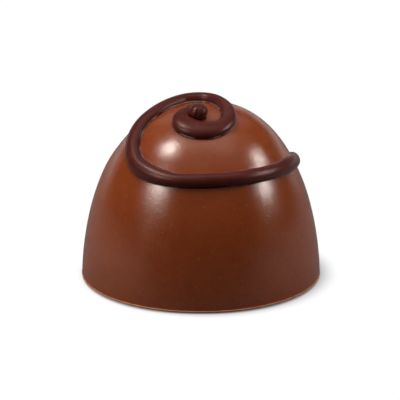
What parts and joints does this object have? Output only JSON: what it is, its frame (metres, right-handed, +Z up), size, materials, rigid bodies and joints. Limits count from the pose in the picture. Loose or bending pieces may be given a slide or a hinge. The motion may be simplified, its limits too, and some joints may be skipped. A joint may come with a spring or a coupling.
{
  "type": "chocolate praline",
  "caption": "Dome-shaped filled milk chocolate praline on a thin flat closing layer, with a dark chocolate swirl and ball piped over the top.",
  "frame": {"origin": "middle of the flat underside", "axes": "+Z up through the dome's apex, -Y towards the front of the swirl, +X to the right"},
  "size_m": [0.0302, 0.0302, 0.0233],
  "materials": {
    "milk_chocolate": "satin moulded milk chocolate",
    "closing_layer": "scraped milk chocolate, a little lighter and duller",
    "dark_chocolate": "satin piped dark chocolate"
  },
  "bodies": {
    "root": {"shell": "milk_chocolate", "base": "closing_layer", "swirl": "dark_chocolate"}
  },
  "joints": []
}
